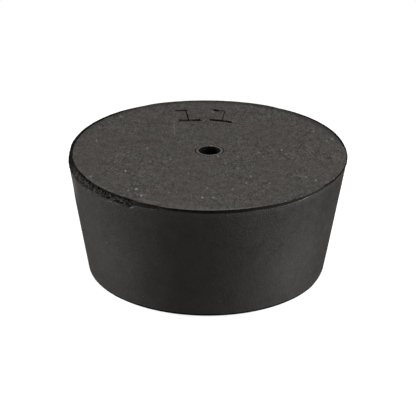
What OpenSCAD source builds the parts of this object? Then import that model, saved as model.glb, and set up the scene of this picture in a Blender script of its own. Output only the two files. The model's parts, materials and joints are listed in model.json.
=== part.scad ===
// One-hole rubber stopper of the No. 11 size, moulded in one piece.
// Millimetres. The origin is the centre of the small end, and +Z points to the large end.

/* [Body] */
// Diameter over the trimmed rim of the large end
large_d = 56; // [52:0.5:70]
// Diameter across the small end, before its edge is rounded
small_d = 47.6; // [30:0.1:51]
// Height from the small end to the large end
height = 25; // [15:0.5:50]
// Radius of the moulded edge round the small end
foot_round = 1.7; // [0.3:0.1:3]

/* [Hole] */
// Diameter of the hole for a glass tube
hole_d = 4.3; // [3:0.1:12]
// Radius of the soft edge at each mouth of the hole
mouth_round = 0.15; // [0.1:0.05:1]
// How far the hole stands off the centre line, towards +X
hole_off_x = 0.5; // [-3:0.1:3]
// How far the hole stands off the centre line, towards +Y
hole_off_y = 0.6; // [-3:0.1:3]

/* [Trimmed rim] */
// Thickness of the lip left where the moulding flash was cut off
lip_h = 0.4; // [0.2:0.1:1]
// How far the lip stands out past the taper
lip_out = 0.15; // [0.05:0.05:0.5]

/* [Torn rim] */
// Direction of the deepest part of the tear, in degrees round the body from +X
tear_dir = 190; // [0:5:355]
// How far round the rim the tear runs to each side of that direction, in degrees
tear_spread = 64; // [30:2:90]
// Width that the tear takes off the large end where it is deepest
tear_w = 1.05; // [0.5:0.05:2]
// Height of the broken shoulder at the top of the tear
tear_shoulder_h = 0.5; // [0.2:0.1:0.8]
// How far the tear stands inside the taper below that shoulder
tear_side_in = 0.35; // [0.1:0.05:0.6]
// Height from the large end down to the lower edge of the tear
tear_h = 1.8; // [1:0.1:3]

/* [Hidden] */
$fn = 96;
rubber_colour = [0.2, 0.19, 0.18];
// Length by which a cutting shape runs out past the body
overrun = 1;
large_r = large_d / 2;
small_r = small_d / 2;
hole_r = hole_d / 2;
// The taper runs in a straight line up to the underside of the lip
taper_top_r = large_r - lip_out;
taper_h = height - lip_h;
taper_angle = atan((taper_top_r - small_r) / taper_h);

// Radius of the taper at a height above the small end
function taper_r(z) = small_r + z * tan(taper_angle);

// Radius at z on the straight line through two [radius, z] points
function line_r(a, b, z) = a[0] + (b[0] - a[0]) * (z - a[1]) / (b[1] - a[1]);

// Half section of the body without its hole
module body_section() {
    // Centre of the arc that touches the small end and the taper
    foot_r = small_r - foot_round * tan((90 - taper_angle) / 2);
    foot_end = [foot_r + foot_round * cos(taper_angle), foot_round * (1 - sin(taper_angle))];
    difference() {
        polygon([
            [0, 0],
            [small_r, 0],
            [taper_top_r, taper_h],
            [large_r, taper_h],
            [large_r, height],
            [0, height]
        ]);
        difference() {
            polygon([[foot_r, 0], [foot_r, -overrun], [small_r + overrun, -overrun],
                [small_r + overrun, foot_end[1]], foot_end, [foot_r, foot_round]]);
            translate([foot_r, foot_round]) circle(r = foot_round);
        }
    }
}

// Straight hole that opens out through a rounded mouth at each end
module hole_cut() {
    mouth_r = hole_r + mouth_round;
    translate([hole_off_x, hole_off_y, 0]) rotate_extrude() difference() {
        polygon([
            [0, -overrun],
            [mouth_r, -overrun],
            [mouth_r, mouth_round],
            [hole_r, mouth_round],
            [hole_r, height - mouth_round],
            [mouth_r, height - mouth_round],
            [mouth_r, height + overrun],
            [0, height + overrun]
        ]);
        translate([mouth_r, mouth_round]) circle(r = mouth_round);
        translate([mouth_r, height - mouth_round]) circle(r = mouth_round);
    }
}

// Crescent torn off the rim. Its inner side turns about a centre set back from the body's own,
// so the tear is deepest in one direction and runs out to nothing on both sides.
module tear_cut() {
    set_back = tear_w / (1 - cos(tear_spread));
    top = [large_r - tear_w + set_back, height];
    shoulder = [taper_r(height - tear_shoulder_h) - tear_side_in + set_back, height - tear_shoulder_h];
    foot = [taper_r(height - tear_h) + set_back, height - tear_h];
    low_z = foot[1] - overrun;
    high_z = height + overrun;
    outside = large_r + set_back + overrun;
    rotate([0, 0, tear_dir]) translate([-set_back, 0, 0]) rotate_extrude() polygon([
        [line_r(foot, shoulder, low_z), low_z],
        shoulder,
        top,
        [line_r(shoulder, top, high_z), high_z],
        [outside, high_z],
        [outside, low_z]
    ]);
}

module stopper() {
    color(rubber_colour) difference() {
        rotate_extrude() body_section();
        hole_cut();
        tear_cut();
    }
}

stopper();
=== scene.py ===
import json
import math
from types import SimpleNamespace

import bmesh
import bpy
from mathutils import Matrix, Vector, noise

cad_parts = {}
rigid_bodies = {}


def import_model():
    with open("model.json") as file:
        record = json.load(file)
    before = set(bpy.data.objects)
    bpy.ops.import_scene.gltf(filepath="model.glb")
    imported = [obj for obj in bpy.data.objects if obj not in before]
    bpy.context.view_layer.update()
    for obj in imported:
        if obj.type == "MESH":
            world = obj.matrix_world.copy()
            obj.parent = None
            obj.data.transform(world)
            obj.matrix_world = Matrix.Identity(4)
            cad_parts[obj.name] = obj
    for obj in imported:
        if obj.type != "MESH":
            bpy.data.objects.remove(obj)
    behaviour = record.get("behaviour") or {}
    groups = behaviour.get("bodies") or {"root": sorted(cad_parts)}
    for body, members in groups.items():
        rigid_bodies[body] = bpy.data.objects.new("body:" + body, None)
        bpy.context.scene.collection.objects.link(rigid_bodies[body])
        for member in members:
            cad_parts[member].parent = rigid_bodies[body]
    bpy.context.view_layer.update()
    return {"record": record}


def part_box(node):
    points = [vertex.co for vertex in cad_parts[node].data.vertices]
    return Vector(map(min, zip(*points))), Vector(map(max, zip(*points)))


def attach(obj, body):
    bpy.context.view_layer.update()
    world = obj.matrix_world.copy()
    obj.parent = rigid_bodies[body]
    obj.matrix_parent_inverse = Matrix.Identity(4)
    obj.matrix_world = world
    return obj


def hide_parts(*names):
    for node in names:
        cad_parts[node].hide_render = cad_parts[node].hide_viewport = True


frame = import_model()

# ------------------------------------------------------------------------------------------------
# Rubber stopper
# One compression moulding of black rubber, which stands on its small end and widens in a straight
# taper. A straight hole for a glass tube runs through it, a little off the centre line.
# ------------------------------------------------------------------------------------------------
MM = 0.001
body_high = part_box("stopper")[1]
tube_hole = next(mount for mount in frame["record"]["mounts"] if mount["name"] == "tube_hole")

# Lengths are in millimetres. The foot is the edge of the small end: a rounding a little off the floor.
HEIGHT = body_high.z / MM
LARGE_RADIUS = body_high.x / MM
SMALL_RADIUS = 23.74
LIP_OUT = 0.15
LIP_HEIGHT = 0.4
FOOT_ROUND = 0.6
FOOT_LIFT = 0.48
HOLE_RADIUS = tube_hole["dims"]["r_mm"]
HOLE_CENTRE = Vector(tube_hole["pos_m"][:2]) / MM
MOUTH_ROUND = 0.15
TAPER_SLOPE = (LARGE_RADIUS - LIP_OUT - SMALL_RADIUS) / (HEIGHT - LIP_HEIGHT)
TAPER_ANGLE = math.atan(TAPER_SLOPE)


def taper_radius(height):
    """Radius of the tapered wall at a height above the small end."""
    return SMALL_RADIUS + height * TAPER_SLOPE


def clamp(value, low=0.0, high=1.0):
    """The value, held between low and high."""
    return max(low, min(high, value))


def ramp(value, start, end):
    """Smooth step from 0 at start to 1 at end."""
    share = clamp((value - start) / (end - start))
    return share * share * (3 - 2 * share)


def wave(azimuth, pitch, seed):
    """Smooth random value from -1 to 1 round the body. Pitch is the length of a wave in millimetres."""
    reach = LARGE_RADIUS / pitch
    return 2 * noise.noise(Vector((reach * math.cos(azimuth), reach * math.sin(azimuth), seed)))


def direction_of(azimuth):
    """Direction in degrees of an azimuth in radians: 0 is the right, 90 the back and 270 the front."""
    return math.degrees(azimuth) % 360


def turn_between(azimuth, direction):
    """Angle between an azimuth in radians and a direction in degrees, from 0 to 180 degrees."""
    return abs((math.degrees(azimuth) - direction + 180) % 360 - 180)


def share_in(stretch, azimuth):
    """1 in the middle of a stretch round the body, down to 0 at its ends."""
    middle, reach, full_reach = stretch
    return ramp(turn_between(azimuth, middle), reach, full_reach)


def sum_of_steps(steps, azimuth):
    """Sum of steps round the body. Each grows to its size between two directions."""
    direction = direction_of(azimuth)
    return sum(size * ramp(direction, start, end) for start, end, size in steps)


# Trimmed rim: the flash round the large end was cut off by hand. That left a thin lip that is not
# quite round, over a groove that is deep at the front and fine at the right and the back.
# A section is a list of rows: radius, height, share of black painted as shade and share of rubble.
EDGE_DROP = 0.07
EDGE_WAVE = 0.025
LIP_EDGE = 0.15
RIM_INNER_RADIUS = LARGE_RADIUS - 2.9
RIM_LOW = HEIGHT - 2.5
RIM_LOWEST = HEIGHT - 3.4
RIM_STEPS = 3
RIM_FAULTS = [
    # direction and reach to each side in degrees, and how far the rim stands out there
    (42, 32, 0.22),
    (6, 18, -0.12),
    (-22, 20, 0.05),
    (92, 42, -0.34),
    (325, 1.8, -0.2),
    (306, 1.2, -0.1),
]
GROOVE_DEPTH = 0.64
# The groove is painted black as shade, on top of the real shade of its depth.
GROOVE_SHADE = 0.65

# A stretch of the rim: direction of its middle, and degrees from there to its ends and to where it
# is full.
WIDE_GROOVE = (287, 42, 14)
GROOVE_BESIDE_TEAR = (243, 11, 3)
LIGHTER_GROOVE_SHADE = (310, 20, 8)
BLACKER_GROOVE = (350, 25, 12)
UNSHADED_LIP = (285, 38, 28)
BLACK_RIGHT = (350, 34, 20)
BLACK_FAR_RIGHT = (30, 36, 18)


def groove_low(azimuth):
    """Depth of the lower edge of the groove below the large end."""
    wider = 0.38 * share_in(WIDE_GROOVE, azimuth)
    beside_tear = 0.35 * share_in(GROOVE_BESIDE_TEAR, azimuth)
    return GROOVE_DEPTH + wider + beside_tear + 0.05 * wave(azimuth, pitch=2.5, seed=2.0)


def groove_shade(azimuth):
    """Share of black painted in the groove as shade: least at the right of the front, and full at the right.
    """
    cleaner = 0.1 * share_in(LIGHTER_GROOVE_SHADE, azimuth)
    return GROOVE_SHADE - cleaner + 0.35 * share_in(BLACKER_GROOVE, azimuth)


def black_width(azimuth):
    """Width of the band along the edge of the large end that is painted black as shade: at the left and the
    right.
    """
    direction = direction_of(azimuth)
    left = 0.72 * ramp(direction, 112, 130) * ramp(direction, 187, 173)
    far_right = 0.6 * share_in(BLACK_FAR_RIGHT, azimuth)
    right = 0.34 * share_in(BLACK_RIGHT, azimuth)
    return max(left, far_right, right)


def rim_edge(azimuth):
    """Radius of the edge of the large end: the trimmed lip, less what the tear has taken off it."""
    edge = LARGE_RADIUS - EDGE_WAVE + EDGE_WAVE * wave(azimuth, pitch=1.6, seed=3.0)
    for direction, reach, out in RIM_FAULTS:
        edge += out * ramp(turn_between(azimuth, direction), reach, 0)
    return edge - sum_of_steps(TEAR_STEPS, azimuth)


def taper_row(height, inside=0.0, black=0.0, rubble=0.0):
    """Row on the taper, or the given depth inside it."""
    return (taper_radius(height) - inside, height, black, rubble)


def flat_edge_rows(azimuth, side_black):
    """First rows of every section: the flat of the large end out to its edge."""
    edge = rim_edge(azimuth)
    width = black_width(azimuth)
    # The band along the edge is painted black as shade.
    black = ramp(width, 0, 0.3)
    return [
        (RIM_INNER_RADIUS, HEIGHT, 0, 0),
        (edge - width - 0.08, HEIGHT, 0, 0),
        (edge - width + 0.04, HEIGHT - 0.002, black, 0),
        (edge - 0.1, HEIGHT - 0.006, black, 0),
        (edge - 0.02, HEIGHT - 0.03, max(black, side_black), 0),
    ]


def whole_section(azimuth):
    """Rows of the trimmed rim: flat edge, thin lip, groove, and the worn shoulder of the taper."""
    edge = rim_edge(azimuth)
    low = groove_low(azimuth)
    middle = (LIP_EDGE + low) / 2
    floor = min(taper_radius(HEIGHT - middle), edge) - 0.2 - 0.2 * share_in(WIDE_GROOVE, azimuth)
    # Outside the front stretch the side of the lip is painted black as shade.
    side = 1 - share_in(UNSHADED_LIP, azimuth)
    # Black painted in the groove and on the top of the shoulder below it is painted shade.
    painted_shade = groove_shade(azimuth)
    return flat_edge_rows(azimuth, 0.4 * side) + [
        (edge, HEIGHT - EDGE_DROP, side, 0),
        (edge - 0.03, HEIGHT - LIP_EDGE, side, 0),
        (floor + 0.08, HEIGHT - LIP_EDGE - 0.04, painted_shade, 0),
        (floor, HEIGHT - middle + 0.05, painted_shade, 0),
        (floor + 0.02, HEIGHT - middle - 0.05, painted_shade, 0),
        (floor + 0.08, HEIGHT - low + 0.08, painted_shade, 0),
        taper_row(HEIGHT - low, inside=0.1, black=0.5 * painted_shade),
        taper_row(HEIGHT - low - 0.22, inside=0.065, black=0.1),
        taper_row(HEIGHT - low - 0.52, inside=0.03),
        taper_row(HEIGHT - low - 0.9),
        taper_row(RIM_LOW),
        taper_row(RIM_LOWEST),
    ]


# Torn rim: on the left the trimming pulled a crescent out of the rim. Its left end is a clean
# break, painted black as shade. Towards the front it is rubble: a crack under the face, a crumbly
# ridge and a row of pits, with black painted as shade in the crack and the pits.
TEAR_STEPS = [
    # directions in degrees where a step of the torn edge starts and ends, and how far inwards it goes
    (126, 176, 0.62),
    (174, 185, 0.7),
    (199, 238, -0.46),
    (237, 244, -0.5),
    (248, 256, -0.24),
    (256, 266, -0.12),
]
BREAK_DEPTH = 0.5
BREAK_STEPS = [
    # directions in degrees between which the foot of the broken face steps down, and how far it goes
    (150, 168, 0.6),
    (168, 182, 0.5),
    (200, 222, -0.2),
]
BREAK_RADIUS = LARGE_RADIUS - 0.56
BREAK_ROWS = 7
CLEAN_BREAK = (180, 22, 10)
RUBBLE_BREAK = (218, 25, 18)
CRACK_DEPTH = 0.46
RIDGE_DEPTH = 0.86
RIDGE_FOOT_DEPTH = 0.9
COARSE_CRUMBS_PER_MM = 1.7
FINE_CRUMBS_PER_MM = 4.5
LIFTED_CRUMBS_PER_MM = 2.6


def break_low(azimuth):
    """Height of the foot of the broken face."""
    depth = BREAK_DEPTH + sum_of_steps(BREAK_STEPS, azimuth)
    return HEIGHT - depth + 0.12 * wave(azimuth, pitch=1.7, seed=7.0)


def clean_section(azimuth):
    """Rows of the clean break: one steep face, painted black as shade, from the large end down to the taper.
    """
    edge = rim_edge(azimuth)
    low = break_low(azimuth)
    outwards = 0.15 * ramp(direction_of(azimuth), 180, 190)
    # The broken face is painted black as shade.
    rows = flat_edge_rows(azimuth, 0.8)
    rows.append((edge + 0.01, HEIGHT - EDGE_DROP, 1, 0))
    for step in range(1, BREAK_ROWS + 1):
        depth = EDGE_DROP + (HEIGHT - EDGE_DROP - low) * step / BREAK_ROWS
        reach = edge + (BREAK_RADIUS + outwards - edge) * ramp(depth, 0, 0.6)
        rows.append((min(reach, taper_radius(HEIGHT - depth)), HEIGHT - depth, 1, 0.2))
    return rows + [
        taper_row(low - 0.12, inside=0.03, black=0.2, rubble=0.4),
        taper_row(low - 0.3, rubble=0.2),
        taper_row(RIM_LOW),
        taper_row(RIM_LOWEST),
    ]


def rubble_section(azimuth):
    """Rows of the rubble: crack under the large end, crumbly ridge, and pits over the taper."""
    edge = rim_edge(azimuth)
    low = break_low(azimuth)
    room = taper_radius(HEIGHT - RIDGE_FOOT_DEPTH) - edge
    crack = CRACK_DEPTH + 0.1 * wave(azimuth, pitch=0.7, seed=8.0)
    pit = ramp(wave(azimuth, pitch=0.8, seed=5.0), -0.4, 0.2)
    # The crack, the ridge and the pits carry black painted as shade.
    return flat_edge_rows(azimuth, 0.6) + [
        (edge - 0.02, HEIGHT - EDGE_DROP, 1, 0),
        (edge - 0.22, HEIGHT - 0.18, 1, 0),
        (edge - 0.16, HEIGHT - crack, 1, 0.5),
        (edge + 0.05, HEIGHT - crack - 0.08, 0.5, 1),
        (edge + 0.4 * room, HEIGHT - 0.68, 0.3, 1),
        (edge + 0.75 * room, HEIGHT - RIDGE_DEPTH, 0.2 * pit, 1),
        (edge + 0.9 * room, (HEIGHT - RIDGE_DEPTH + low + 0.25) / 2, 0.7 * pit, 1),
        taper_row(low + 0.25, inside=0.12 + 0.12 * pit, black=pit, rubble=0.9),
        taper_row(low + 0.1, inside=0.08 + 0.06 * pit, black=0.8 * pit, rubble=0.7),
        taper_row(low - 0.1, inside=0.04, rubble=0.5),
        taper_row(low - 0.6, rubble=0.1),
        taper_row(RIM_LOWEST),
    ]


def blend(first, second, share):
    """Section that goes from first to second as share goes from 0 to 1."""
    return [tuple(a + (b - a) * share for a, b in zip(one, other)) for one, other in zip(first, second)]


def smooth_curve(rows, steps):
    """Smooth curve through the rows of a section, with that many steps between two."""
    curve = []
    for index in range(len(rows) - 1):
        before = rows[max(index - 1, 0)]
        start = rows[index]
        end = rows[index + 1]
        after = rows[min(index + 2, len(rows) - 1)]
        for step in range(steps):
            t = step / steps
            curve.append(tuple(
                0.5 * (2 * b + (c - a) * t + (2 * a - 5 * b + 4 * c - d) * t * t
                       + (3 * b - 3 * c + d - a) * t * t * t)
                for a, b, c, d in zip(before, start, end, after)
            ))
    curve.append(rows[-1])
    return curve


def rim_rows(azimuth):
    """Rows of the rim at one azimuth, trimmed or torn."""
    section = blend(whole_section(azimuth), clean_section(azimuth), share_in(CLEAN_BREAK, azimuth))
    section = blend(section, rubble_section(azimuth), share_in(RUBBLE_BREAK, azimuth))
    return smooth_curve(section, RIM_STEPS)


def roughen(point, share):
    """The point moved by the crumbs of the rubble."""
    outwards = Vector((point.x, point.y, 0)).normalized()
    coarse = noise.noise(point * COARSE_CRUMBS_PER_MM)
    fine = noise.noise(point * FINE_CRUMBS_PER_MM + Vector((7, 3, 5)))
    lift = noise.noise(point * LIFTED_CRUMBS_PER_MM + Vector((1, 9, 2)))
    moved = point + outwards * share * (0.22 * coarse + 0.18 * fine - 0.04)
    moved.z = min(moved.z + share * 0.25 * lift, HEIGHT)
    return moved


# Whole body: closed rings run out of the hole over the large end, down the rim and the taper, round
# the foot and back up the hole. Their columns stand close together over the tear. The foot is a
# small rounding, painted black as shade, to which the flat of the small end curves up.
COLUMN_TURN = 0.72
CLOSE_COLUMN_TURN = 0.36
CLOSE_MIDDLE = 190
CLOSE_REACH = 67
MOUTH_RING_RADIUS = 2.82
MOUTH_RING_DEPTH = 0.12
MOUTH_RING_WIDTH = 0.3
MOUTH_RING_STEPS = 4
LARGE_END_RADII = (3.4, 4.2, 5.5, 7.5, 10, 12.5, 15, 17.5, 20, 22, 23.6)
WALL_STEPS = 13
WALL_LOWEST = 2.2
ABOVE_FOOT_HEIGHTS = (1.6, 1.25, 1.07)
FOOT_STEPS = 8
# Share of black painted on the rounding of the foot as shade.
FOOT_BLACK = 0.9
FOOT_RADIUS = taper_radius(FOOT_LIFT) - FOOT_ROUND * math.tan((math.pi / 2 - TAPER_ANGLE) / 2)
SMALL_END_RADII = (21.5, 20, 18.5, 17, 14, 10, 7, 5, 3.6)
SMALL_END_FLAT_RADIUS = 17
HOLE_STEPS = 10
MOUTH_RADIUS = HOLE_RADIUS + MOUTH_ROUND

# Rings are round the hole's centre line up to the first radius, and round the body's from the second.
ROUND_HOLE_RADIUS = 3
ROUND_BODY_RADIUS = 13

# Dents of the wall: stretch round the body, depth, and heights where each comes in and goes out.
TEAR_DENT = (184, 45, 12)
TEAR_DENT_DEPTH = 0.16
TEAR_DENT_FROM = (HEIGHT - 10, HEIGHT - 5)
TEAR_DENT_TO = (HEIGHT - 1, HEIGHT - 2)
FOOT_DENT = (342, 14, 3)
FOOT_DENT_DEPTH = 0.12
FOOT_DENT_FROM = (5, 1)


def arc_rows(centre_radius, centre_height, radius, start, end, steps, black=0):
    """Rows along an arc of the half section, from one angle to another in degrees."""
    rows = []
    for step in range(steps + 1):
        angle = math.radians(start + (end - start) * step / steps)
        reach = centre_radius + radius * math.cos(angle)
        rows.append((reach, centre_height + radius * math.sin(angle), black, 0))
    return rows


def large_end_rows():
    """Rows of the large end: rounded mouth of the hole, sunken ring round it, and flat."""
    # The inner part of the mouth's rounding is painted black as shade.
    rows = arc_rows(MOUTH_RADIUS, HEIGHT - MOUTH_ROUND, MOUTH_ROUND, 180, 144, 2, black=1)
    rows += arc_rows(MOUTH_RADIUS, HEIGHT - MOUTH_ROUND, MOUTH_ROUND, 126, 90, 2)
    for step in range(2 * MOUTH_RING_STEPS + 1):
        across = step / MOUTH_RING_STEPS - 1
        radius = MOUTH_RING_RADIUS + MOUTH_RING_WIDTH / 2 * across
        rows.append((radius, HEIGHT - MOUTH_RING_DEPTH * (1 - across * across) ** 2, 0, 0))
    return rows + [(radius, HEIGHT, 0, 0) for radius in LARGE_END_RADII]


def pressed_in(azimuth, height):
    """How far the wall lies inside the straight taper, below the tear and at the right of the foot."""
    upper_wall = ramp(height, *TEAR_DENT_FROM) * ramp(height, *TEAR_DENT_TO)
    below_tear = TEAR_DENT_DEPTH * upper_wall * share_in(TEAR_DENT, azimuth)
    return below_tear + FOOT_DENT_DEPTH * ramp(height, *FOOT_DENT_FROM) * share_in(FOOT_DENT, azimuth)


def wall_rows(azimuth):
    """Rows of the rim, the taper and the rounding of the foot, pressed in where the wall has dents."""
    rows = rim_rows(azimuth)
    for step in range(1, WALL_STEPS + 1):
        rows.append(taper_row(RIM_LOWEST + (WALL_LOWEST - RIM_LOWEST) * step / WALL_STEPS))
    rows += [taper_row(height) for height in ABOVE_FOOT_HEIGHTS]
    rows += arc_rows(FOOT_RADIUS, FOOT_LIFT + FOOT_ROUND, FOOT_ROUND, -math.degrees(TAPER_ANGLE), -90,
                     FOOT_STEPS, FOOT_BLACK)
    return [(radius - pressed_in(azimuth, height), height, *masks) for radius, height, *masks in rows]


def small_end_rows():
    """Rows of the small end and the hole: curve down from the foot, flat, rounded mouth and bore."""
    rows = []
    for radius in SMALL_END_RADII:
        rows.append((radius, FOOT_LIFT * ramp(radius, SMALL_END_FLAT_RADIUS, FOOT_RADIUS + 2), 0, 0))
    rows += arc_rows(MOUTH_RADIUS, MOUTH_ROUND, MOUTH_ROUND, -90, -180, 5)
    # The bore is painted black as shade.
    for step in range(1, HOLE_STEPS):
        rows.append((HOLE_RADIUS, MOUTH_ROUND + (HEIGHT - 2 * MOUTH_ROUND) * step / HOLE_STEPS, 1, 0))
    return rows


def column_angles():
    """Azimuths of the mesh columns in radians."""
    angles = []
    direction = 0.0
    while direction < 360 - CLOSE_COLUMN_TURN:
        azimuth = math.radians(direction)
        angles.append(azimuth)
        close = turn_between(azimuth, CLOSE_MIDDLE) < CLOSE_REACH
        direction += CLOSE_COLUMN_TURN if close else COLUMN_TURN
    return angles


def make_body():
    """Mesh object of the stopper without its size number."""
    points = []
    blacks = []
    rubbles = []
    large_end = large_end_rows()
    small_end = small_end_rows()
    angles = column_angles()
    for azimuth in angles:
        for radius, height, black, rubble in large_end + wall_rows(azimuth) + small_end:
            centre = HOLE_CENTRE * (1 - ramp(radius, ROUND_HOLE_RADIUS, ROUND_BODY_RADIUS))
            across = centre.x + radius * math.cos(azimuth)
            point = Vector((across, centre.y + radius * math.sin(azimuth), height))
            if rubble > 0:
                point = roughen(point, rubble)
            points.append(point * MM)
            blacks.append(clamp(black))
            rubbles.append(clamp(rubble))
    columns = len(angles)
    rows = len(points) // columns
    faces = []
    for column in range(columns):
        here = column * rows
        there = (column + 1) % columns * rows
        for row in range(rows):
            below = (row + 1) % rows
            faces.append((here + row, here + below, there + below, there + row))
    mesh = bpy.data.meshes.new("rubber_stopper")
    mesh.from_pydata(points, [], faces)
    # The black mask holds painted shade.
    mesh.attributes.new("black", "FLOAT", "POINT").data.foreach_set("value", blacks)
    mesh.attributes.new("rubble", "FLOAT", "POINT").data.foreach_set("value", rubbles)
    body = bpy.data.objects.new("rubber_stopper", mesh)
    bpy.context.collection.objects.link(body)
    return body


stopper = make_body()

# Size number: two plain figures pressed into the large end by punches in the mould. The feet and
# flags are cut wider than the stems, and the two figures lean away from each other.
FLARE = 0.07
CUTTER_RISE = 0.5
TROUGH_ROUND = 0.08
STROKE_END_STEPS = 8
NUMBER_STROKES = [
    # start, end, half width and depth: flag, stem and foot of the left figure, then of the right
    ((-6.3, 21.86), (-4.5, 21.95), 0.4, 0.5),
    ((-4.5, 22.0), (-3.7, 22.15), 0.18, 0.2),
    ((-4.5, 21.8), (-3.8, 17.0), 0.13, 0.4),
    ((-5.35, 16.4), (-3.6, 16.5), 0.56, 0.7),
    ((-3.6, 16.5), (-1.6, 16.75), 0.56, 0.7),
    ((1.6, 22.2), (2.3, 21.95), 0.48, 0.6),
    ((2.3, 22.0), (3.3, 21.85), 0.3, 0.4),
    ((3.6, 21.4), (3.15, 17.0), 0.08, 0.25),
    ((0.95, 16.8), (2.9, 16.45), 0.52, 0.7),
    ((2.9, 16.45), (4.8, 15.75), 0.52, 0.7),
]


def stroke_outline(start, end, half_width):
    """Outline of a straight stroke with round ends, as points in the plane."""
    along = (end - start).normalized()
    across = Vector((-along.y, along.x))
    outline = []
    for centre, first in ((end, 0), (start, 180)):
        for step in range(STROKE_END_STEPS + 1):
            angle = math.radians(first + 90 - 180 * step / STROKE_END_STEPS)
            outline.append(centre + half_width * (along * math.cos(angle) + across * math.sin(angle)))
    return outline


def make_stroke(start, end, half_width, depth):
    """Cutter for one stroke: a rounded trough that flares at the face."""
    levels = [
        # height above the large end and half width
        (CUTTER_RISE, half_width + FLARE),
        (0.0, half_width + FLARE),
        (-FLARE, half_width),
        (TROUGH_ROUND - depth, half_width * 0.8),
        (-depth, half_width * 0.4),
    ]
    shape = bmesh.new()
    rings = []
    for lift, reach in levels:
        outline = stroke_outline(Vector(start), Vector(end), reach)
        rings.append([shape.verts.new((p.x * MM, p.y * MM, (HEIGHT + lift) * MM)) for p in outline])
    count = len(rings[0])
    shape.faces.new(rings[0])
    for upper, lower in zip(rings, rings[1:]):
        for index in range(count):
            following = (index + 1) % count
            shape.faces.new((upper[index], lower[index], lower[following], upper[following]))
    shape.faces.new(list(reversed(rings[-1])))
    bmesh.ops.recalc_face_normals(shape, faces=shape.faces)
    mesh = bpy.data.meshes.new("stroke")
    shape.to_mesh(mesh)
    shape.free()
    return bpy.data.objects.new("stroke", mesh)


def press_number():
    """Cuts every stroke into the large end."""
    strokes = bpy.data.collections.new("strokes")
    bpy.context.scene.collection.children.link(strokes)
    for stroke in NUMBER_STROKES:
        strokes.objects.link(make_stroke(*stroke))
    cut = stopper.modifiers.new("number", "BOOLEAN")
    cut.operation = "DIFFERENCE"
    cut.solver = "EXACT"
    cut.operand_type = "COLLECTION"
    cut.collection = strokes
    shape = stopper.evaluated_get(bpy.context.evaluated_depsgraph_get())
    pressed = bpy.data.meshes.new_from_object(shape)
    stopper.modifiers.clear()
    stopper.data = pressed
    for cutter in list(strokes.objects):
        bpy.data.objects.remove(cutter)
    bpy.data.collections.remove(strokes)


press_number()

SHARP_ANGLE = math.radians(38)
for face in stopper.data.polygons:
    face.use_smooth = True
stopper.data.set_sharp_from_angle(angle=SHARP_ANGLE)

# Moulded skin: satin black on the sides, and grey with dust, rubbings and small marks on the large
# end, where it has been handled most.
# The skin also carries painted light: highlights and glints, and painted shade in the recesses, at the back
# edge and on the right of the wall.
DUST_AND_HIGHLIGHT_GREY = (0.17, 0.16, 0.15, 1)
FLECK_AND_GLINT_GREY = (0.3, 0.29, 0.27, 1)
# The first black colours dark marks and paints shade; the second is painted shade wherever it is used.
DARK_MARK_AND_SHADE_BLACK = (0.012, 0.011, 0.0105, 1)
PURE_BLACK = (0.0025, 0.0023, 0.0022, 1)
SIDE_DARK = (0.026, 0.0243, 0.0231, 1)
SIDE_PALE = (0.066, 0.0613, 0.0578, 1)
TOP_DARK = (0.012, 0.0105, 0.0095, 1)
TOP_PALE = (0.12, 0.106, 0.101, 1)
TOP_OLIVE = (0.116, 0.109, 0.096, 1)


def add(tree, kind, inputs=None, **settings):
    """Adds a shader node. Inputs are sockets to link or plain values, by socket name or number."""
    made = tree.nodes.new("ShaderNode" + kind)
    for name, value in settings.items():
        setattr(made, name, value)
    for key, value in (inputs or {}).items():
        if isinstance(value, bpy.types.NodeSocket):
            tree.links.new(value, made.inputs[key])
        else:
            made.inputs[key].default_value = value
    return made


def math_of(tree, operation, *values, clamped=False):
    """Output of a Math node."""
    return add(tree, "Math", dict(enumerate(values)), operation=operation, use_clamp=clamped).outputs[0]


def times(tree, *values):
    """Product of sockets and numbers."""
    product = values[0]
    for value in values[1:]:
        product = math_of(tree, "MULTIPLY", product, value)
    return product


def plus(tree, *values):
    """Sum of sockets and numbers."""
    total = values[0]
    for value in values[1:]:
        total = math_of(tree, "ADD", total, value)
    return total


def step_of(tree, value, start, end):
    """Smooth step from 0 where the value is at start to 1 where it is at end."""
    made = add(tree, "MapRange", {"Value": value, "From Min": start, "From Max": end},
               interpolation_type="SMOOTHSTEP")
    return made.outputs["Result"]


def band_of(tree, value, start, rise, fall, end):
    """1 from rise to fall, and 0 before start and after end."""
    return times(tree, step_of(tree, value, start, rise), step_of(tree, value, end, fall))


def noise_of(tree, place, pitch, detail=2.0, **inputs):
    """Noise from 0 to 1 with features of about the given pitch in millimetres."""
    made = add(tree, "TexNoise", {"Vector": place, "Scale": 1 / pitch, "Detail": detail, **inputs})
    return made.outputs["Fac"]


def vector_of(tree, operation, *values, **inputs):
    """Vector Math node."""
    return add(tree, "VectorMath", {**dict(enumerate(values)), **inputs}, operation=operation)


# Numbers of the colour sockets of a Mix node, whose other kinds of socket have the same names.
MIX_COLOUR_INPUTS = (6, 7)
MIX_COLOUR_OUTPUT = 2


def mix_colour(tree, share, first, second):
    """Colour that goes from first to second as share goes from 0 to 1."""
    first_input, second_input = MIX_COLOUR_INPUTS
    values = {"Factor": share, first_input: first, second_input: second}
    return add(tree, "Mix", values, data_type="RGBA").outputs[MIX_COLOUR_OUTPUT]


def new_group(name, inputs, outputs):
    """Empty node group with its sockets. Returns the tree, its inputs and its output node."""
    tree = bpy.data.node_groups.new(name, "ShaderNodeTree")
    for label, kind, value in inputs:
        socket = tree.interface.new_socket(label, in_out="INPUT", socket_type="NodeSocket" + kind)
        socket.default_value = value
    for label in outputs:
        tree.interface.new_socket(label, in_out="OUTPUT", socket_type="NodeSocketFloat")
    return tree, tree.nodes.new("NodeGroupInput").outputs, tree.nodes.new("NodeGroupOutput")


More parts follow.
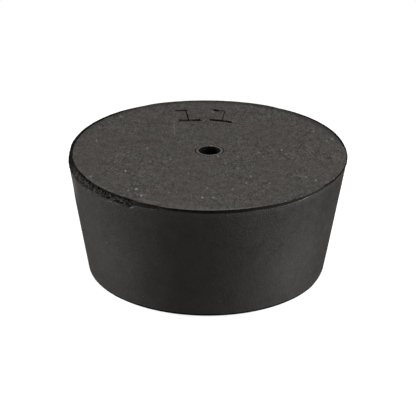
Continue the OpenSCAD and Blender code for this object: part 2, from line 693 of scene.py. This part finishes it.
def grain_group():
    """Unevenness of moulded rubber at three scales, each from 0 to 1."""
    tree, given, result = new_group("rubber_grain", [("Place", "Vector", (0, 0, 0))],
                                    ["Blotches", "Mottling", "Grain"])
    tree.links.new(noise_of(tree, given["Place"], 7.0, 3.0), result.inputs["Blotches"])
    tree.links.new(noise_of(tree, given["Place"], 1.8, 4.0), result.inputs["Mottling"])
    grain = step_of(tree, noise_of(tree, given["Place"], 0.55, 3.0, Roughness=0.7), 0.25, 0.75)
    tree.links.new(grain, result.inputs["Grain"])
    return tree


def scratch_group():
    """Mask of one straight scratch between two points, broken up along its length."""
    tree, given, result = new_group("scratch", [
        ("Place", "Vector", (0, 0, 0)), ("Start", "Vector", (0, 0, 0)), ("End", "Vector", (1, 0, 0)),
        ("Width", "Float", 0.15),
    ], ["Mask"])
    along = vector_of(tree, "SUBTRACT", given["End"], given["Start"]).outputs[0]
    from_start = vector_of(tree, "SUBTRACT", given["Place"], given["Start"]).outputs[0]
    reach = vector_of(tree, "DOT_PRODUCT", from_start, along).outputs["Value"]
    length = vector_of(tree, "DOT_PRODUCT", along, along).outputs["Value"]
    share = math_of(tree, "DIVIDE", reach, length, clamped=True)
    nearest = vector_of(tree, "SCALE", along, Scale=share).outputs[0]
    gap = vector_of(tree, "DISTANCE", from_start, nearest).outputs["Value"]
    line = step_of(tree, math_of(tree, "DIVIDE", gap, given["Width"]), 1, 0)
    broken_up = step_of(tree, noise_of(tree, given["Place"], 0.7), 0.3, 0.6)
    tree.links.new(times(tree, line, broken_up), result.inputs["Mask"])
    return tree


def fleck_group():
    """Mask of scattered flecks: one in some cells of a random pattern, each of its own size."""
    tree, given, result = new_group("flecks", [
        ("Place", "Vector", (0, 0, 0)), ("Spacing", "Float", 1.0), ("Radius", "Float", 0.15),
        ("Share", "Float", 0.3),
    ], ["Mask"])
    scale = math_of(tree, "DIVIDE", 1, given["Spacing"])
    cells = add(tree, "TexVoronoi", {"Vector": given["Place"], "Scale": scale})
    gap = times(tree, cells.outputs["Distance"], given["Spacing"])
    chance = add(tree, "SeparateColor", {0: cells.outputs["Color"]})
    ragged = noise_of(tree, given["Place"], 0.25)
    radius = times(tree, given["Radius"], plus(tree, ragged, chance.outputs[1]))
    inside = step_of(tree, math_of(tree, "DIVIDE", gap, radius), 1.0, 0.4)
    chosen = math_of(tree, "LESS_THAN", chance.outputs[0], given["Share"])
    bright = times(tree, inside, step_of(tree, chance.outputs[2], -0.4, 0.9))
    tree.links.new(times(tree, bright, chosen), result.inputs["Mask"])
    return tree


GRAIN = grain_group()
SCRATCH = scratch_group()
FLECKS = fleck_group()


def group_of(tree, group, **inputs):
    """Outputs of a node group placed in a tree."""
    made = tree.nodes.new("ShaderNodeGroup")
    made.node_tree = group
    for name, value in inputs.items():
        if isinstance(value, bpy.types.NodeSocket):
            tree.links.new(value, made.inputs[name])
        else:
            made.inputs[name].default_value = value
    return made.outputs


def place_of(tree):
    """Place on the stopper in millimetres."""
    metres = add(tree, "TexCoord").outputs["Object"]
    return vector_of(tree, "SCALE", metres, Scale=1 / MM).outputs[0]


def mask_of(tree, name):
    """A mask that is kept on the mesh."""
    return add(tree, "Attribute", attribute_name=name).outputs["Fac"]


TOP_SCRATCHES = [
    # start, end and half width of a pale line on the large end
    ((12.65, -9.13), (15.94, -10.05), 0.16),
    ((-13.87, -11.47), (-12.07, -12.88), 0.16),
    ((-6.82, 15.9), (-6.64, 9.4), 0.22),
    ((3.46, 22.41), (3.13, 21.26), 0.14),
    ((-18.1, -3.7), (-17.4, -1.1), 0.2),
    ((-17.4, -1.1), (-16.4, -2.1), 0.2),
    ((-18.5, -8.1), (-17.4, -9.6), 0.2),
    ((9.5, -8.7), (12.6, -8.8), 0.12),
    ((22.1, -15.0), (23.5, -14.3), 0.2),
    ((3.6, -20.2), (6.0, -22.0), 0.16),
]
TOP_FLECKS_AND_GLINTS = [
    # place of a pale fleck on the large end and its radius
    ((-22.35, -12.8), 0.3),
    ((-13.4, -18.6), 0.42),
    ((-14.9, -19.3), 0.3),
    ((-12.3, -21.6), 0.38),
    ((-15.8, -10.0), 0.38),
    ((-22.3, 5.2), 0.3),
    ((7.6, -15.4), 0.3),
    ((-0.8, -22.3), 0.36),
    ((14.9, 1.1), 0.3),
    ((10.4, -0.5), 0.22),
    ((8.9, -7.5), 0.22),
    ((21.0, -13.8), 0.32),
    ((24.6, -13.0), 0.3),
    # the last two are painted glints by the mouth of the hole
    ((0.85, 3.0), 0.34),
    ((2.2, -2.2), 0.32),
]
WALL_SCUFF = [
    # start, end and half width of a dark scuff that runs up the wall at the right of the front
    ((11.75, -22.95, 12.2), (14.4, -21.98, 15.15), 0.35),
    ((14.4, -21.98, 15.15), (17.3, -20.32, 17.6), 0.3),
]
WALL_PATCHES = [
    # centre of a patch of the wall, its reach, its colour and the share of that colour in it
    ((15.5, -19.5, 9.0), 11, DUST_AND_HIGHLIGHT_GREY, 0.1),
    ((-17.0, -18.0, 10.0), 11, DUST_AND_HIGHLIGHT_GREY, 0.07),
    # the black patches on the right are painted shade
    ((24.0, -12.5, 20.5), 10, DARK_MARK_AND_SHADE_BLACK, 0.4),
    ((23.0, -9.5, 7.0), 10, DARK_MARK_AND_SHADE_BLACK, 0.2),
]
TEAR_HIGHLIGHT_CENTRE = (-26.6, -7.2, 20.5)
FRONT_LEFT = (-0.6, -0.8, 0)

# The marks of the large end are twice as long from front to back as they are wide.
DRAWN_OUT = (1, 0.5, 1)

# Heights and radii between which a mask of the skin comes in. A band has two more, where it ends.
TOP_HEIGHTS = (HEIGHT - 0.2, HEIGHT - 0.05)
EDGE_HEIGHTS = (HEIGHT - 0.2, HEIGHT - 0.12)
MOUTH_HEIGHTS = (HEIGHT - 5, HEIGHT - 4)
PALER_FRONT_RADII = [LARGE_RADIUS - inside for inside in (2.4, 1.6, 0.8, 0.3)]
BACK_SHADE_RADII = (LARGE_RADIUS - 2.2, LARGE_RADIUS - 0.4)
EDGE_HIGHLIGHT_RADII = (LARGE_RADIUS - 0.45, LARGE_RADIUS - 0.15)
MOUTH_DUST_RADII = (2.2, 2.3, 2.55, 2.7)
RING_SHADE_RADII = (2.66, 2.75, 2.9, 3.0)
SUNK_HEIGHTS = (HEIGHT - 0.03, HEIGHT - 0.14)
SUNK_RADII = (23.5, 23.2)
ABOVE_FOOT = (0.7, 1.0)


def read_skin(tree):
    """Places on the skin in millimetres, the grain of its rubber, and a mask of the large end."""
    place = place_of(tree)
    parts = add(tree, "SeparateXYZ", {0: place}).outputs
    flat = add(tree, "CombineXYZ", {"X": parts["X"], "Y": parts["Y"]}).outputs[0]
    facing = add(tree, "SeparateXYZ", {0: add(tree, "NewGeometry").outputs["Normal"]}).outputs["Z"]
    drawn_out = vector_of(tree, "MULTIPLY", place, DRAWN_OUT).outputs[0]
    blotches, mottling, grain = group_of(tree, GRAIN, Place=place)
    return SimpleNamespace(
        place=place,
        back=parts["Y"],
        height=parts["Z"],
        flat=flat,
        radius=vector_of(tree, "LENGTH", flat).outputs["Value"],
        from_hole=vector_of(tree, "DISTANCE", flat, (*HOLE_CENTRE, 0)).outputs["Value"],
        on_top=times(tree, step_of(tree, facing, 0.6, 0.95), step_of(tree, parts["Z"], *TOP_HEIGHTS)),
        drawn_out=drawn_out,
        blotches=blotches,
        mottling=mottling,
        grain=grain,
        speckle=step_of(tree, noise_of(tree, drawn_out, 0.3, 1.5), 0.3, 0.75),
        flecks=group_of(tree, FLECKS, Place=drawn_out, Spacing=1.2, Radius=0.3, Share=0.1)["Mask"],
    )


def side_colour_of(tree, skin):
    """Satin black of the wall, with patches of dust and, on the right, patches of painted shade."""
    tone = plus(tree, times(tree, skin.blotches, 0.35), times(tree, skin.mottling, 0.4),
                times(tree, skin.grain, 0.25))
    colour = mix_colour(tree, tone, SIDE_DARK, SIDE_PALE)
    for centre, reach, patch_colour, share in WALL_PATCHES:
        away = vector_of(tree, "DISTANCE", skin.place, centre).outputs["Value"]
        patch = step_of(tree, plus(tree, away, times(tree, skin.mottling, 4)), reach + 2, 2)
        colour = mix_colour(tree, times(tree, patch, share), colour, patch_colour)
    return colour


def top_colour_of(tree, skin):
    """Dusty grey of the large end, stippled in some places more than in others."""
    pebbles = step_of(tree, noise_of(tree, skin.drawn_out, 0.75, 2.0), 0.3, 0.7)
    stipple = plus(tree, times(tree, skin.speckle, 0.45), times(tree, pebbles, 0.18), -0.265)
    busy = plus(tree, 0.65, times(tree, step_of(tree, noise_of(tree, skin.place, 9), 0.35, 0.65), 0.6))
    tone = plus(tree, 0.33, times(tree, stipple, busy), times(tree, skin.mottling, 0.25),
                times(tree, skin.blotches, 0.15))
    tint = step_of(tree, noise_of(tree, skin.place, 8, 1.0), 0.35, 0.65)
    pale = mix_colour(tree, tint, TOP_PALE, TOP_OLIVE)
    return mix_colour(tree, tone, TOP_DARK, pale)


def shade_and_highlight_rim(tree, skin, colour):
    """Colour of the large end's edge: paler in front, a painted highlight on its front, and painted shade at
    the back.
    """
    towards_front_left = vector_of(tree, "DOT_PRODUCT", skin.flat, FRONT_LEFT).outputs["Value"]
    paler_front = times(tree, band_of(tree, skin.radius, *PALER_FRONT_RADII), step_of(tree, towards_front_left, 18, 26),
                   skin.on_top, step_of(tree, skin.mottling, 0.35, 0.6))
    colour = mix_colour(tree, times(tree, paler_front, 0.25), colour, DUST_AND_HIGHLIGHT_GREY)
    # Painted shade: the back of the large end darkens towards its edge.
    back_shade = times(tree, step_of(tree, skin.radius, *BACK_SHADE_RADII), step_of(tree, skin.back, 0, 14),
                     skin.on_top)
    colour = mix_colour(tree, times(tree, back_shade, 0.55), colour, PURE_BLACK)
    # Painted highlight on the front of the edge.
    edge_highlight = times(tree, step_of(tree, skin.radius, *EDGE_HIGHLIGHT_RADII),
                      step_of(tree, skin.back, -25.5, -27), step_of(tree, skin.height, *EDGE_HEIGHTS))
    return mix_colour(tree, times(tree, edge_highlight, 0.4), colour, DUST_AND_HIGHLIGHT_GREY)


def tear_highlight_and_black(tree, skin, colour):
    """Colour with a painted highlight on the wall under the tear, and the black skin between its crumbs."""
    # Painted highlight: a pale patch on the wall under the tear.
    away = vector_of(tree, "DISTANCE", skin.place, TEAR_HIGHLIGHT_CENTRE).outputs["Value"]
    pale_highlight = step_of(tree, plus(tree, away, times(tree, skin.mottling, 6)), 7.5, 3.0)
    colour = mix_colour(tree, times(tree, pale_highlight, 0.45), colour, DUST_AND_HIGHLIGHT_GREY)
    ragged = times(tree, noise_of(tree, skin.place, 0.5, 3.0), 1.2)
    crumbled = plus(tree, mask_of(tree, "rubble"), ragged, -0.6)
    return mix_colour(tree, times(tree, step_of(tree, crumbled, 0.2, 0.45), 0.85), colour, DARK_MARK_AND_SHADE_BLACK)


def mark_large_end(tree, skin, colour):
    """Colour with the specks, scratches and pale flecks of the large end, and two painted glints by the hole.
    """
    colour = mix_colour(tree, times(tree, skin.flecks, skin.on_top, 0.8), colour, DUST_AND_HIGHLIGHT_GREY)
    for start, end, width in TOP_SCRATCHES:
        ends = {"Start": (*start, 0), "End": (*end, 0)}
        line = group_of(tree, SCRATCH, Place=skin.flat, **ends, Width=width)["Mask"]
        colour = mix_colour(tree, times(tree, line, skin.on_top, 0.8), colour, DUST_AND_HIGHLIGHT_GREY)
    for (x, y), radius in TOP_FLECKS_AND_GLINTS:
        centre = (x, y * DRAWN_OUT[1], HEIGHT)
        away = vector_of(tree, "DISTANCE", skin.drawn_out, centre).outputs["Value"]
        shine = step_of(tree, plus(tree, away, times(tree, skin.speckle, 0.1)), radius, radius * 0.3)
        colour = mix_colour(tree, times(tree, shine, 0.8), colour, FLECK_AND_GLINT_GREY)
    return colour


def scuff_wall(tree, skin, colour):
    """Colour with the dark scuff of the wall."""
    for start, end, width in WALL_SCUFF:
        line = group_of(tree, SCRATCH, Place=skin.place, Start=start, End=end, Width=width)["Mask"]
        colour = mix_colour(tree, times(tree, line, 0.4), colour, DARK_MARK_AND_SHADE_BLACK)
    return colour


def dust_and_shade_mouth(tree, skin, colour):
    """Colour with dust round the mouth of the hole and black painted as shade in the ring round it."""
    at_mouth = step_of(tree, skin.height, *MOUTH_HEIGHTS)
    dust = times(tree, band_of(tree, skin.from_hole, *MOUTH_DUST_RADII), at_mouth)
    colour = mix_colour(tree, times(tree, dust, 0.3), colour, DUST_AND_HIGHLIGHT_GREY)
    # Painted shade in the sunken ring round the mouth.
    painted_shade = times(tree, band_of(tree, skin.from_hole, *RING_SHADE_RADII), at_mouth)
    return mix_colour(tree, times(tree, painted_shade, 0.8), colour, PURE_BLACK)


def new_rubber(name):
    """Material with its tree and its shader."""
    material = bpy.data.materials.new(name)
    material.use_nodes = True
    return material, material.node_tree, material.node_tree.nodes["Principled BSDF"]


def raise_relief(tree, shader, relief):
    """Bump that stands a millimetre high where the relief is 1."""
    bump = add(tree, "Bump", {"Height": relief, "Distance": MM})
    tree.links.new(bump.outputs["Normal"], shader.inputs["Normal"])


def make_skin():
    """Moulded skin of the stopper. The pressed figures and the hole are painted black inside as shade."""
    material, tree, shader = new_rubber("moulded_rubber")
    skin = read_skin(tree)
    colour = mix_colour(tree, skin.on_top, side_colour_of(tree, skin), top_colour_of(tree, skin))
    for finish in (shade_and_highlight_rim, tear_highlight_and_black, mark_large_end, scuff_wall, dust_and_shade_mouth):
        colour = finish(tree, skin, colour)
    # Painted shade: the pressed figures and the hole are darkened to pure black.
    sunk = times(tree, step_of(tree, skin.height, *SUNK_HEIGHTS), step_of(tree, skin.radius, *SUNK_RADII),
                 step_of(tree, skin.height, *ABOVE_FOOT))
    colour = mix_colour(tree, sunk, colour, PURE_BLACK)
    tree.links.new(colour, shader.inputs["Base Color"])
    roughness = plus(tree, 0.28, times(tree, skin.mottling, 0.2), times(tree, skin.on_top, 0.1))
    tree.links.new(math_of(tree, "MAXIMUM", roughness, times(tree, sunk, 0.9)), shader.inputs["Roughness"])
    raise_relief(tree, shader, plus(tree, times(tree, skin.grain, 0.03), times(tree, skin.mottling, 0.05),
                                    times(tree, skin.flecks, 0.05)))
    return material


# Bared rubber: where the knife or the tear has opened the skin it is dull and black, with grey crumbs
# on the rubble. Its black mask is painted shade, which darkens it further.
CRUMB_DARK = (0.012, 0.011, 0.0105, 1)
CRUMB_PALE = (0.054, 0.047, 0.044, 1)
BARED_SHARE = 0.4


def make_bared():
    """Dull rubber of the cut edge, the groove and the tear."""
    material, tree, shader = new_rubber("bared_rubber")
    place = place_of(tree)
    black = mask_of(tree, "black")
    mottling, grain = group_of(tree, GRAIN, Place=place)[1:]
    tone = step_of(tree, noise_of(tree, place, 0.5, 3.0), 0.3, 0.7)
    colour = mix_colour(tree, tone, CRUMB_DARK, CRUMB_PALE)
    crumbs = group_of(tree, FLECKS, Place=place, Spacing=0.9, Radius=0.3, Share=0.2)["Mask"]
    colour = mix_colour(tree, times(tree, crumbs, 0.6), colour, DUST_AND_HIGHLIGHT_GREY)
    # Painted shade: the black mask darkens the groove, the cut edge, the break, the crack and the pits, the
    # foot and the hole.
    colour = mix_colour(tree, step_of(tree, black, 0.1, 0.65), colour, DARK_MARK_AND_SHADE_BLACK)
    colour = mix_colour(tree, step_of(tree, black, 0.65, 1.0), colour, PURE_BLACK)
    tree.links.new(colour, shader.inputs["Base Color"])
    tree.links.new(plus(tree, 0.7, times(tree, mottling, 0.25)), shader.inputs["Roughness"])
    shader.inputs["Specular IOR Level"].default_value = 0.1
    raise_relief(tree, shader, times(tree, grain, 0.06))
    return material


def paint_faces():
    """Gives each face its rubber: bared where the mesh's own masks say so."""
    mesh = stopper.data
    mesh.materials.clear()
    mesh.materials.append(make_skin())
    mesh.materials.append(make_bared())
    black = mesh.attributes["black"].data
    rubble = mesh.attributes["rubble"].data
    for face in mesh.polygons:
        bared = sum(max(black[corner].value, rubble[corner].value) for corner in face.vertices)
        face.material_index = 1 if bared > BARED_SHARE * len(face.vertices) else 0


paint_faces()
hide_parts("stopper")
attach(stopper, "root")

# ------------------------------------------------------------------------------------------------
# Floor, light and camera
# A plain pale floor that shows the shadow near the stopper and is white beyond it, soft lamps on
# the left, on the right and above, and a camera that looks a little down on the large end.
# ------------------------------------------------------------------------------------------------
WHITE = (1, 1, 1, 1)
FLOOR_GREY = (0.5, 0.5, 0.5, 1)

# Distances from the middle of the floor, in metres, between which each of its looks comes in.
FLOOR_RADIUS = 0.6
FLOOR_WHITE_TO_PALE = (0.11, 0.06)
# Inside the contact distances the glow is left out, which paints a dark contact shadow round the foot.
FLOOR_CONTACT_TO_GLOW = (0.0222, 0.0229)
FLOOR_CONTACT_TO_BOUNCE = (0.0222, 0.0235)
FLOOR_GLOW = 0.85
FLOOR_BOUNCE = 0.02


def glowing(tree, strength):
    """Plain white glow of a strength."""
    return add(tree, "Emission", {"Color": WHITE, "Strength": strength}).outputs[0]


def make_floor_paint():
    """Pale near the stopper, with its shadow and a painted contact shadow at the foot, and white beyond. To
    the stopper itself it is dark.
    """
    paint = bpy.data.materials.new("pale_floor")
    paint.use_nodes = True
    tree = paint.node_tree
    tree.nodes.clear()
    seen = add(tree, "LightPath").outputs["Is Camera Ray"]
    reach = vector_of(tree, "LENGTH", add(tree, "TexCoord").outputs["Object"]).outputs["Value"]
    near = step_of(tree, reach, *FLOOR_WHITE_TO_PALE)
    glow = glowing(tree, times(tree, step_of(tree, reach, *FLOOR_CONTACT_TO_GLOW), FLOOR_GLOW))
    bounce = glowing(tree, times(tree, step_of(tree, reach, *FLOOR_CONTACT_TO_BOUNCE), FLOOR_BOUNCE))
    pale = add(tree, "BsdfDiffuse", {"Color": FLOOR_GREY}).outputs[0]
    shadowed = add(tree, "AddShader", {0: pale, 1: glow}).outputs[0]
    shown = add(tree, "MixShader", {0: near, 1: glowing(tree, 1.0), 2: shadowed}).outputs[0]
    surface = add(tree, "MixShader", {0: seen, 1: bounce, 2: shown}).outputs[0]
    add(tree, "OutputMaterial", {"Surface": surface})
    return paint


floor_mesh = bpy.data.meshes.new("floor")
floor_shape = bmesh.new()
bmesh.ops.create_circle(floor_shape, cap_ends=True, segments=96, radius=FLOOR_RADIUS)
floor_shape.to_mesh(floor_mesh)
floor_shape.free()
floor_mesh.materials.append(make_floor_paint())
floor = bpy.data.objects.new("floor", floor_mesh)
bpy.context.collection.objects.link(floor)

world = bpy.data.worlds.new("studio")
bpy.context.scene.world = world
world.use_nodes = True
world_tree = world.node_tree
background = world_tree.nodes["Background"]
background.inputs["Color"].default_value = WHITE
world_tree.links.new(add(world_tree, "LightPath").outputs["Is Camera Ray"], background.inputs["Strength"])

PANEL_AIM = Vector((0, 0, 0.012))
PANEL_DISTANCE = 0.5


def soft_panel(name, azimuth, elevation, size, power):
    """Square lamp that faces the stopper. Azimuth 0 is behind it, 90 on the right."""
    turn = math.radians(azimuth)
    lift = math.radians(elevation)
    away = Vector((math.sin(turn) * math.cos(lift), math.cos(turn) * math.cos(lift), math.sin(lift)))
    lamp = bpy.data.lights.new(name, "AREA")
    lamp.shape = "SQUARE"
    lamp.size = size
    lamp.energy = power
    panel = bpy.data.objects.new(name, lamp)
    panel.location = PANEL_AIM + away * PANEL_DISTANCE
    panel.rotation_mode = "QUATERNION"
    panel.rotation_quaternion = away.to_track_quat("Z", "Y")
    panel.visible_camera = False
    bpy.context.collection.objects.link(panel)


soft_panel("left_panel", azimuth=-92, elevation=10, size=0.3, power=4.35)
soft_panel("right_panel", azimuth=104, elevation=10, size=0.55, power=7.4)
soft_panel("top_panel", azimuth=0, elevation=86, size=0.3, power=0.72)

CAMERA_ELEVATION = math.radians(24.56)
CAMERA_ROLL = math.radians(0.42)
CAMERA_DISTANCE = 0.4
CAMERA_AIM = Vector((0, 0, 0.0125))
CAMERA_LENS = 171.82
CAMERA_SENSOR = 36
CAMERA_SHIFT = (0.0035, 0.0015)

camera_data = bpy.data.cameras.new("camera")
camera_data.sensor_width = CAMERA_SENSOR
camera_data.lens = CAMERA_LENS
camera_data.shift_x, camera_data.shift_y = CAMERA_SHIFT
camera = bpy.data.objects.new("camera", camera_data)
back = Vector((0, -math.cos(CAMERA_ELEVATION), math.sin(CAMERA_ELEVATION)))
camera.location = CAMERA_AIM + back * CAMERA_DISTANCE
camera.rotation_mode = "QUATERNION"
facing_back = back.to_track_quat("Z", "Y").to_matrix()
camera.rotation_quaternion = (facing_back @ Matrix.Rotation(CAMERA_ROLL, 3, "Z")).to_quaternion()
bpy.context.collection.objects.link(camera)
bpy.context.scene.camera = camera
bpy.context.scene.view_settings.view_transform = "Standard"
